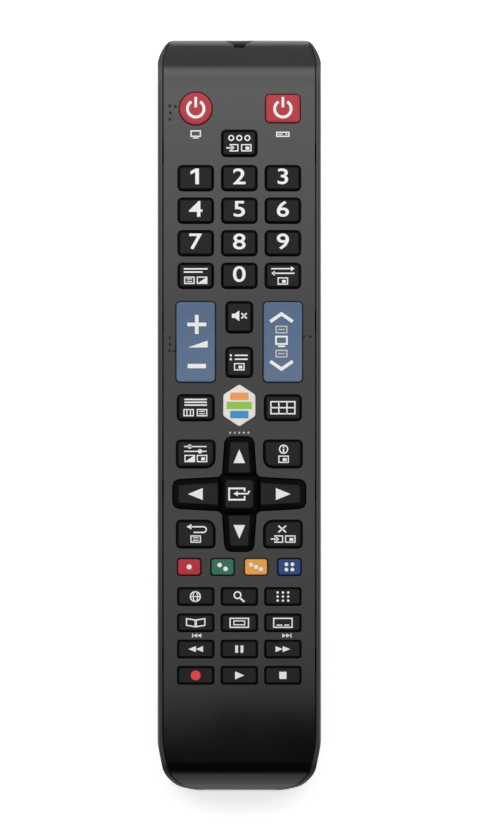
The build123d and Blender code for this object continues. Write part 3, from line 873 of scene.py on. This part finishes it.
left_x, right_x = cells_low.x + cell_radius, cells_high.x - cell_radius
for name, x, foot, direction in (("left_cell", left_x, cells_high.y - cell_length, 1),
                                 ("right_cell", right_x, cells_low.y + cell_length, -1)):
    cell = cell_body(name)
    lay_down(cell, x, foot, direction)
    middle_y = foot + direction * cell_length / 2
    finish_piece(cell, sleeve(name + "_sleeve", middle_y, direction), "casing", 40)
    stand_for("battery_cells")

spring_radius = 2.9 * MM
spring_tip = 2.0 * MM
wire_radius = 0.3 * MM
spring_turns = 4
spring_steps = 28
springs_low, springs_high = (Vector(corner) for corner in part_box("battery_springs"))
spring_length = 3.9 * MM


def coil_spring(name):
    """A spring that stands upright at the origin, wide at its foot and narrow at its tip."""
    rise = spring_length - 2 * wire_radius
    bpy.ops.mesh.primitive_circle_add(vertices=10, radius=wire_radius,
                                      location=(spring_radius, 0, wire_radius),
                                      rotation=(math.radians(90), 0, 0))
    piece = bpy.context.object
    piece.name = name
    bake_place(piece)
    modify(piece, "SCREW", axis="Z", screw_offset=rise / spring_turns, iterations=spring_turns,
           steps=spring_steps, render_steps=spring_steps)
    for vertex in piece.data.vertices:
        around = Vector((vertex.co.x, vertex.co.y, 0))
        share = min(1, max(0, (vertex.co.z - wire_radius) / rise))
        vertex.co -= around.normalized() * ((spring_radius - spring_tip) * share)
    open_mesh(piece)
    pick_all()
    bpy.ops.mesh.fill_holes(sides=12)
    close_mesh()
    return piece


for name, x, foot, direction in (("left_spring", left_x, springs_low.y, 1),
                                 ("right_spring", right_x, springs_high.y, -1)):
    spring = coil_spring(name)
    lay_down(spring, x, foot, direction)
    finish_piece(spring, spring_steel, "casing", 60)
    stand_for("battery_springs")
print("cells and springs at height", round(cell_height / MM, 2), "mm")

# %% [markdown]
# ## Finishes for what stays as packed
# The window, board, mat and contacts are already the right shape. They keep their meshes and only
# get a finish.

# %% Inside finishes
inside_finishes = {
    "infrared_window": window_plastic, "infrared_led": emitter_resin,
    "keypad_mat": mat_rubber, "circuit_board": board_green, "controller_chip": chip_resin,
    "reservoir_capacitor": can_sleeve, "bridging_contact": contact_steel,
    "terminal_plates": contact_steel,
}
for node, material in inside_finishes.items():
    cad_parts[node].data.materials.clear()
    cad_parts[node].data.materials.append(material)

# %% [markdown]
# ## Printed signs
# Each sign is pad-printed ink. It could be a texture, but thin shapes stay crisp at any distance.
# A sign is a list of flat marks in millimetres from its key's middle: ribbons along a line, discs
# and filled corners. The marks become one sheet, which is pressed down onto the key by a
# shrinkwrap, so that it follows a dished or sloping top, and then gets the thickness of the ink.

# %% Marks in millimetres
ink_thickness = 0.06 * MM
drop_height = 40 * MM


def arc(x, y, radius, start, end, steps=20, squash=1.0):
    """Points along an arc, angles in degrees."""
    angles = [math.radians(start + (end - start) * step / steps) for step in range(steps + 1)]
    return [(x + radius * squash * math.cos(turn), y + radius * math.sin(turn))
            for turn in angles]


def ribbon(run, width, closed=False):
    """A band of even width along a run of points, with mitred corners."""
    count = len(run)
    sides = []
    for number, (x, y) in enumerate(run):
        before = Vector(run[number - 1] if number or closed else run[number])
        after = Vector(run[(number + 1) % count] if number < count - 1 or closed else run[number])
        here = Vector((x, y))
        incoming = (here - before).normalized() if here != before else (after - here).normalized()
        outgoing = (after - here).normalized() if after != here else incoming
        across = Vector((-incoming.y - outgoing.y, incoming.x + outgoing.x)).normalized()
        reach = width / 2 / max(0.4, across.dot(Vector((-outgoing.y, outgoing.x))))
        sides.append((here + across * reach, here - across * reach))
    corners = [tuple(corner) for pair in sides for corner in pair]
    last = count if closed else count - 1
    faces = [(2 * number, 2 * number + 1, (2 * number + 3) % (2 * count),
              (2 * number + 2) % (2 * count)) for number in range(last)]
    return corners, faces


def filled(corners):
    return list(corners), [tuple(range(len(corners)))]


def wedge(x, y, reach, half):
    """A triangle with an upright base at x and its tip a reach away."""
    return filled([(x, y - half), (x, y + half), (x + reach, y)])


def disc(x, y, radius, steps=20):
    return filled(arc(x, y, radius, 0, 360 - 360 / steps, steps - 1))


def ring(x, y, radius, width, squash=1.0):
    return ribbon(arc(x, y, radius, 0, 345, 23, squash), width, True)


def rectangle(x, y, width, height):
    return [(x - width / 2, y - height / 2), (x + width / 2, y - height / 2),
            (x + width / 2, y + height / 2), (x - width / 2, y + height / 2)]


def bar(x, y, width, height):
    return filled(rectangle(x, y, width, height))


def frame_line(x, y, width, height, line):
    return ribbon(rectangle(x, y, width - line, height - line), line, True)


def lay_ink(name, body, marks, centre, target, material):
    """Turns marks into one thin printed sheet on the target's upper side."""
    corners, faces = [], []
    for mark_corners, mark_faces in marks:
        first = len(corners)
        corners += [(centre[0] + x * MM, centre[1] + y * MM, drop_height)
                    for x, y in mark_corners]
        faces += [tuple(first + number for number in face) for face in mark_faces]
    mesh = bpy.data.meshes.new(name)
    mesh.from_pydata(corners, [], faces)
    return press_ink(add_object(name, mesh), body, target, material)


def press_ink(piece, body, target, material):
    modify(piece, "SHRINKWRAP", target=target, wrap_method="PROJECT", use_project_z=True,
           use_negative_direction=True, use_positive_direction=False)
    modify(piece, "SOLIDIFY", thickness=ink_thickness, offset=0)
    return finish_piece(piece, material, body)


def middle_of(node):
    low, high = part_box(node)
    return ((low[0] + high[0]) / 2, (low[1] + high[1]) / 2)


def key_sign(node, marks, material=white_ink, name="sign"):
    lay_ink(node + "_" + name, node, marks, middle_of(node), key_pieces[node], material)


# %% [markdown]
# ## Numbers, power, volume and programme signs
# Plain numbers come from Blender's own font, made bolder by its offset. The other signs are the
# usual drawn symbols: a broken ring with a bar, plus, wedge and minus, and two chevrons.

# %% Numbers and large signs
number_height = 4.5 * MM
number_lift = 0.48 * MM
number_widening = 1.25
number_boldness = 0.011


def number_sign(node, text):
    letters = bpy.data.curves.new(node + "_number", "FONT")
    letters.body = text
    letters.align_x = "CENTER"
    letters.align_y = "CENTER"
    letters.size = 1.0
    letters.offset = number_boldness
    only(add_object(node + "_number", letters))
    bpy.ops.object.convert(target="MESH")
    piece = bpy.context.object
    across, along = zip(*(vertex.co.xy for vertex in piece.data.vertices))
    scale = number_height / (max(along) - min(along))
    x, y = middle_of(node)
    to_middle = Matrix.Translation((-(min(across) + max(across)) / 2,
                                    -(min(along) + max(along)) / 2, 0))
    wider = Matrix.Diagonal((scale * number_widening, scale, scale, 1))
    piece.data.transform(Matrix.Translation((x, y + number_lift, drop_height)) @ wider @ to_middle)
    press_ink(piece, node, key_pieces[node], white_ink)


for number in (0, 2, 3, 4, 5, 6, 7, 8, 9):
    number_sign("digit_" + str(number), str(number))
key_sign("digit_1", [bar(0.4, 0.48, 1.05, 4.5),
                     filled([(-0.1, 2.7), (-1.5, 1.9), (-1.5, 1.0), (-0.1, 1.7)])])

power_marks = [ribbon(arc(0, -0.1, 2.35, 122, 418, 40), 0.8), bar(0, 1.8, 0.75, 3.0)]
for node in ("power_key", "set_power_key"):
    key_sign(node, power_marks)

plus_marks = [bar(0.3, 5.0, 5.4, 1.05), bar(0.3, 6.6, 1.05, 2.2), bar(0.3, 3.4, 1.05, 2.2)]
wedge_marks = [filled([(-2.2, -1.55), (3.4, -1.55), (3.4, 0.4)])]
minus_marks = [bar(0.3, -6.85, 5.2, 1.25)]
key_sign("volume_rocker", plus_marks + wedge_marks + minus_marks)

chevron = [(-3.2, -1.1), (0, 1.1), (3.2, -1.1)]
up_chevron = [(x - 0.4, y + 6.9) for x, y in chevron]
down_chevron = [(x - 0.4, -6.6 - y) for x, y in chevron]
screen_marks = [frame_line(-0.4, 0.5, 3.6, 2.6, 0.5), bar(-0.4, -1.2, 2.0, 0.45)]
side_frames = [frame_line(-0.4, 3.55, 3.4, 2.2, 0.35), bar(-0.4, 3.55, 1.9, 0.35),
               frame_line(-0.4, -3.3, 3.4, 2.2, 0.35), bar(-0.4, -3.3, 1.9, 0.35)]
key_sign("channel_rocker", [ribbon(up_chevron, 0.95), ribbon(down_chevron, 0.95)] + screen_marks)
key_sign("channel_rocker", side_frames, grey_ink, "frames")

for node, way in (("up_key", 1), ("down_key", -1)):
    key_sign(node, [filled([(-1.65 * way, -2.65 * way), (1.65 * way, -2.65 * way),
                            (0, 1.25 * way)])])
for node, way in (("left_key", -1), ("right_key", 1)):
    key_sign(node, [wedge(-2.35 * way, 0, 4.2 * way, 1.7)])
enter_marks = [ribbon([(1.5, 0.75), (1.5, 1.6), (-2.9, 1.6), (-2.9, -1.6), (1.5, -1.6),
                       (1.5, -0.55)], 0.5),
               ribbon([(2.9, 0.9), (2.4, 0.1), (-0.6, 0.1)], 0.45), wedge(-0.4, 0.1, -1.3, 0.75)]
key_sign("enter_key", enter_marks)

# %% [markdown]
# ## Small signs
# Keys that usually carry a word get a picture of what they do instead, at the same size and
# whiteness, so the keypad reads as busy as a real one without any lettering.

# %% Small signs on the word keys
line = 0.38


def page(x, y, inside="lines"):
    """A small framed page with one of four simple fillings."""
    fillings = {
        "lines": [bar(x, y + 0.38, 1.6, 0.28), bar(x, y - 0.32, 1.6, 0.28)],
        "block": [bar(x + 0.3, y - 0.1, 1.1, 0.85)],
        "columns": [bar(x - 0.5, y, 0.32, 2.0), bar(x + 0.5, y, 0.32, 2.0)],
        "slope": [filled([(x - 1.2, y - 0.8), (x + 1.2, y - 0.8), (x + 1.2, y + 0.8)])],
    }
    return [frame_line(x, y, 3.0, 2.1, 0.32)] + fillings[inside]


def long_arrow(x, y, width, pointing):
    """A thin arrow that points left (-1) or right (1)."""
    return [bar(x - pointing * 0.3, y, width - 0.6, line),
            wedge(x + pointing * (width / 2 - 1), y, pointing, 0.75)]


def slider(x, y, knob):
    return [bar(x, y, 6.4, 0.34), disc(x + knob, y, 0.62, 14)]


def into_box(x, y):
    """An arrow that goes into an open frame."""
    return [ribbon([(x - 0.7, y + 0.55), (x - 0.7, y + 0.9), (x + 1.5, y + 0.9),
                    (x + 1.5, y - 0.9), (x - 0.7, y - 0.9), (x - 0.7, y - 0.55)], 0.32)
            ] + long_arrow(x - 0.6, y, 2.4, 1)


def cross(x, y, half_width, half_height, width):
    return [ribbon([(x - half_width, y - side * half_height),
                    (x + half_width, y + side * half_height)], width) for side in (-1, 1)]


def speaker(x, y):
    return [bar(x - 1.55, y, 0.9, 1.2),
            filled([(x - 1.15, y - 0.6), (x + 0.1, y - 1.55), (x + 0.1, y + 1.55),
                    (x - 1.15, y + 0.6)])] + cross(x + 1.45, y, 0.75, 0.75, 0.42)


small_signs = {
    "source_key": [ring(shift, 1.5, 0.68, 0.36) for shift in (-2.3, 0, 2.3)]
    + into_box(-1.9, -1.3) + page(2.0, -1.3, "block"),
    "text_key": [bar(0, 1.95, 6.8, 0.42), bar(-0.7, 1.05, 5.4, 0.42)]
    + page(-1.8, -1.3) + page(1.8, -1.3, "slope"),
    "last_channel_key": long_arrow(0, 2.0, 6.6, 1) + long_arrow(0, 0.7, 6.6, -1)
    + page(0, -1.5, "block"),
    "mute_key": speaker(-0.1, 0.4),
    "channel_list_key": [mark for level in (1.95, 0.85) for mark in
                         (disc(-2.4, level, 0.34, 12), bar(0.55, level, 3.7, 0.4))]
    + page(0, -1.3, "block"),
    "menu_key": [bar(0, level, 6.4, 0.42) for level in (2.35, 1.55, 0.75)]
    + page(-2.0, -1.4, "columns") + page(1.8, -1.4),
    "guide_key": [frame_line(0, 0, 7.2, 3.8, line), bar(-1.15, 0, line, 3.6),
                  bar(1.15, 0, line, 3.6), bar(0, 0, 7.0, line)],
    "tools_key": slider(-0.1, 2.1, -1.6) + slider(-0.1, 0.75, 1.3)
    + page(-1.7, -1.3, "slope") + page(1.8, -1.3, "block"),
    "info_key": [ring(0.2, 1.35, 1.15, 0.36), bar(0.2, 1.0, 0.42, 1.0),
                 disc(0.2, 2.0, 0.26, 10)] + page(0.2, -1.5, "block"),
    "return_key": [ribbon([(-1.4, 2.1), (2.2, 2.1)] + arc(2.2, 1.3, 0.8, 90, -90, 10)
                          + [(-0.6, 0.5)], line),
                   wedge(-1.2, 2.1, -1.4, 0.8)] + page(0, -1.4),
    "exit_key": cross(-0.2, 1.45, 1.1, 0.95, 0.44) + into_box(-1.6, -1.4)
    + page(2.1, -1.4, "block"),
    "internet_key": [ring(-0.1, 0, 1.4, 0.36), ring(-0.1, 0, 1.4, 0.3, 0.45),
                     bar(-0.1, 0, 2.7, 0.3)],
    "search_key": [ring(-0.5, 0.4, 0.95, 0.4), ribbon([(0.15, -0.3), (1.4, -1.5)], 0.5)],
    "keypad_key": [disc(x, y, 0.34, 12) for x in (-1.5, 0, 1.5) for y in (-1.15, 0, 1.15)],
    "manual_key": [ribbon([(side * 0.15, -1.1), (side * 2.6, -0.7), (side * 2.6, 1.2),
                           (side * 0.15, 0.8)], 0.36, True) for side in (-1, 1)],
    "picture_size_key": [frame_line(0, 0, 5.6, 2.9, 0.36), frame_line(0, 0, 3.4, 1.4, 0.3)],
    "subtitle_key": [frame_line(0, 0, 5.6, 2.9, 0.36), bar(-1.0, -0.65, 1.6, 0.34),
                     bar(1.1, -0.65, 1.4, 0.34)],
    "rewind_key": [wedge(0.05, 0, -2.15, 0.85), wedge(2.1, 0, -2.1, 0.85)],
    "pause_key": [bar(-0.75, 0, 0.8, 2.1), bar(0.75, 0, 0.8, 2.1)],
    "forward_key": [wedge(-0.05, 0, 2.15, 0.85), wedge(-2.1, 0, 2.1, 0.85)],
    "play_key": [wedge(-1.2, 0, 2.6, 1.15)],
    "stop_key": [bar(0, 0, 2.05, 2.05)],
}
for node, marks in small_signs.items():
    key_sign(node, marks)
key_sign("record_key", [disc(0, 0, 1.4, 28)], record_ink)
pip_places = [[(0, 0)], [(-0.85, 0.55), (0.85, -0.55)], [(-1.4, 0.65), (0, 0), (1.4, -0.65)],
              [(-0.85, 0.75), (0.85, 0.75), (-0.85, -0.75), (0.85, -0.75)]]
for number, node in enumerate(("red_key", "green_key", "yellow_key", "blue_key")):
    key_sign(node, [disc(x, y, 0.72 - 0.06 * number, 18) for x, y in pip_places[number]])
for name, level, width, material in (("upper_band", 2.6, 5.2, orange_ink),
                                     ("middle_band", 0, 7.2, green_ink),
                                     ("lower_band", -2.6, 5.2, blue_ink)):
    key_sign("hub_key", [bar(0, level, width, 2.1)], material, name)

# %% [markdown]
# ## Marks on the cover
# Beside the keys the cover carries a few small prints of its own, and the little raised dots by
# which a hand finds the keys in the dark.

# %% Prints and dots on the cover
cover = bpy.data.objects["top_cover_moulding"]


def cover_print(name, marks, x, y, material=white_ink):
    lay_ink(name, "casing", marks, (x * MM, y * MM), cover, material)


cover_print("screen_print", [frame_line(0, 0.2, 3.0, 1.9, 0.36), bar(0, -1.05, 1.7, 0.3)],
            -12.4, 79.9)
cover_print("box_print", [frame_line(0, 0, 3.8, 1.5, 0.36), disc(1.0, 0, 0.26, 10),
                          bar(-0.7, 0, 1.2, 0.28)], 12.4, 79.9)
cover_print("hub_print", [disc(1.3 * step, 0, 0.3, 10) for step in (-2, -1, 0, 1, 2)],
            0, -5.05, grey_ink)
# On both sides of the smoked window a dark wedge is printed over the end of the head: its place
# along the handset, then its inner and its outer edge from the middle.
wedge_rows = [(105.7, 1.95, 2.1), (106.1, 2.15, 2.7), (106.4, 2.35, 3.3), (106.65, 2.55, 3.7),
              (106.84, 2.85, 3.9)]
wedge_faces = [(2 * row, 2 * row + 1, 2 * row + 3, 2 * row + 2)
               for row in range(len(wedge_rows) - 1)]
for name, side in (("left_wedge", -1), ("right_wedge", 1)):
    wedge_corners = [(side * x, y) for y, inner, outer in wedge_rows for x in (inner, outer)]
    cover_print(name, [(wedge_corners, wedge_faces)], 0, 0, window_plastic)
# Two small wedges and a stop bar point left (-1) and right (1).
for name, x, way in (("back_print", -11.9, -1), ("next_print", 13.3, 1)):
    cover_print(name, [wedge(way * -1.1, 0, way * 1.2, 0.6), wedge(way * 0.05, 0, way * 1.2, 0.6),
                       bar(way * 1.4, 0, 0.3, 1.2)], x, -62.75)

dot_radius = 0.42 * MM
dot_sunk = 0.05 * MM
dot_wall = 0.15 * MM
dot_crown = ((0.12 * MM, 0.8), (0.05 * MM, 0.5))


def finger_dot(name, x, y):
    """A low round pimple, from a flat circle pulled up and closed in two steps."""
    cover_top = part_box("top_cover")[1][2]
    bpy.ops.mesh.primitive_circle_add(vertices=16, radius=dot_radius, fill_type="NGON",
                                      location=(x * MM, y * MM, cover_top - dot_sunk))
    piece = begin_piece(name)
    pick("faces", lambda face: True)
    extrude_up(dot_wall)
    for height, share in dot_crown:
        extrude_up(height)
        resize(share, share, (x * MM, y * MM, 0))
    close_mesh()
    finish_piece(piece, dark_ink, "casing", 60)


dot_places = [(-19.8, 88.0), (-18.2, 87.85), (-19.65, 86.0), (-19.75, 84.2),
              (-19.75, 22.0), (-19.75, 20.1), (-19.9, 18.25), (-18.4, 18.25),
              (18.3, 22.3), (20.2, 22.3)]
for number, (x, y) in enumerate(dot_places):
    finger_dot("finger_dot_" + str(number + 1), x, y)

# %% [markdown]
# ## Studio
# A pale floor, a soft panel overhead and a bright horizon. The handset is so dark and glossy that
# it mostly shows what it mirrors, so the panel is graded: brightest over the head, weaker over the
# keys, and it ends over the tail, where the cover turns black. A graded panel could be one lamp
# with a texture; a row of narrow lamps gives the same and stays easy to change.

# %% Floor, lamp and sky


def floor_material():
    finish = Finish("floor", Base_Color=tone(235, 235, 235), Roughness=0.9)
    seen = [finish.node("LightPath", {}, "Is " + kind + " Ray")
            for kind in ("Camera", "Glossy", "Transmission")]
    share = seen[0] + seen[1] + seen[2]
    finish.shader.inputs["Emission Strength"].default_value = 1.0
    finish.vary(Emission_Color=finish.mix(share, (0, 0, 0, 1), (0.6, 0.6, 0.6, 1)))
    return finish.material


floor_side = 6
floor_drop = 0.02 * MM
bpy.ops.mesh.primitive_plane_add(size=floor_side, location=(0, 0, -floor_drop))
floor = bpy.context.object
floor.name = "floor"
floor.data.materials.append(floor_material())


def soft_lamp(name, x, y, width, length, radiance):
    """A flat lamp at the panel's height that shines straight down."""
    lamp_data = bpy.data.lights.new(name, "AREA")
    lamp_data.shape = "RECTANGLE"
    lamp_data.size = width
    lamp_data.size_y = length
    lamp_data.energy = math.pi * radiance * width * length
    aim(add_object(name, lamp_data), Vector((x, y, panel_height)), Vector((x, y, 0)))


panel_height = 0.5
panel_side = 0.5
panel_end = -93 * MM
strip = 20 * MM
strip_levels = [0.83, 0.94, 1.05, 1.12, 1.12, 1.12, 1.2, 1.42, 1.65, 1.8, 2.1]
panels = [(panel_end + strip * number, panel_end + strip * (number + 1), level)
          for number, level in enumerate(strip_levels)]
panels += [(127 * MM, 250 * MM, 1.95), (250 * MM, 345 * MM, 2.25), (345 * MM, 385 * MM, 1.5),
           (385 * MM, 800 * MM, 0.75)]
for low, high, radiance in panels:
    soft_lamp("panel", 0, (low + high) / 2, 2 * panel_side, high - low, radiance)

# The panel's lower left corner hangs a little further over the tail.
corner_width, corner_length, corner_level = 0.49, 10 * MM, 0.36
soft_lamp("panel_corner", -panel_side + corner_width / 2, panel_end - corner_length / 2,
          corner_width, corner_length, corner_level)

sky_heights = (0.35, 0.75)
sky_levels = (0.98, 0.016)


def sky():
    """Dark above, pale round the horizon: a studio with white walls and no ceiling lights."""
    world = bpy.data.worlds.new("studio")
    bpy.context.scene.world = world
    world.use_nodes = True
    tree = world.node_tree
    back = tree.nodes["Background"]
    place = tree.nodes.new("ShaderNodeTexCoord")
    parts = tree.nodes.new("ShaderNodeSeparateXYZ")
    ramp = tree.nodes.new("ShaderNodeValToRGB")
    tree.links.new(place.outputs["Generated"], parts.inputs[0])
    tree.links.new(parts.outputs["Z"], ramp.inputs[0])
    tree.links.new(ramp.outputs[0], back.inputs["Color"])
    for stop, height, level in zip(ramp.color_ramp.elements, sky_heights, sky_levels):
        stop.position = height
        stop.color = (level, level, level, 1)


sky()
bpy.context.scene.view_settings.view_transform = "Standard"
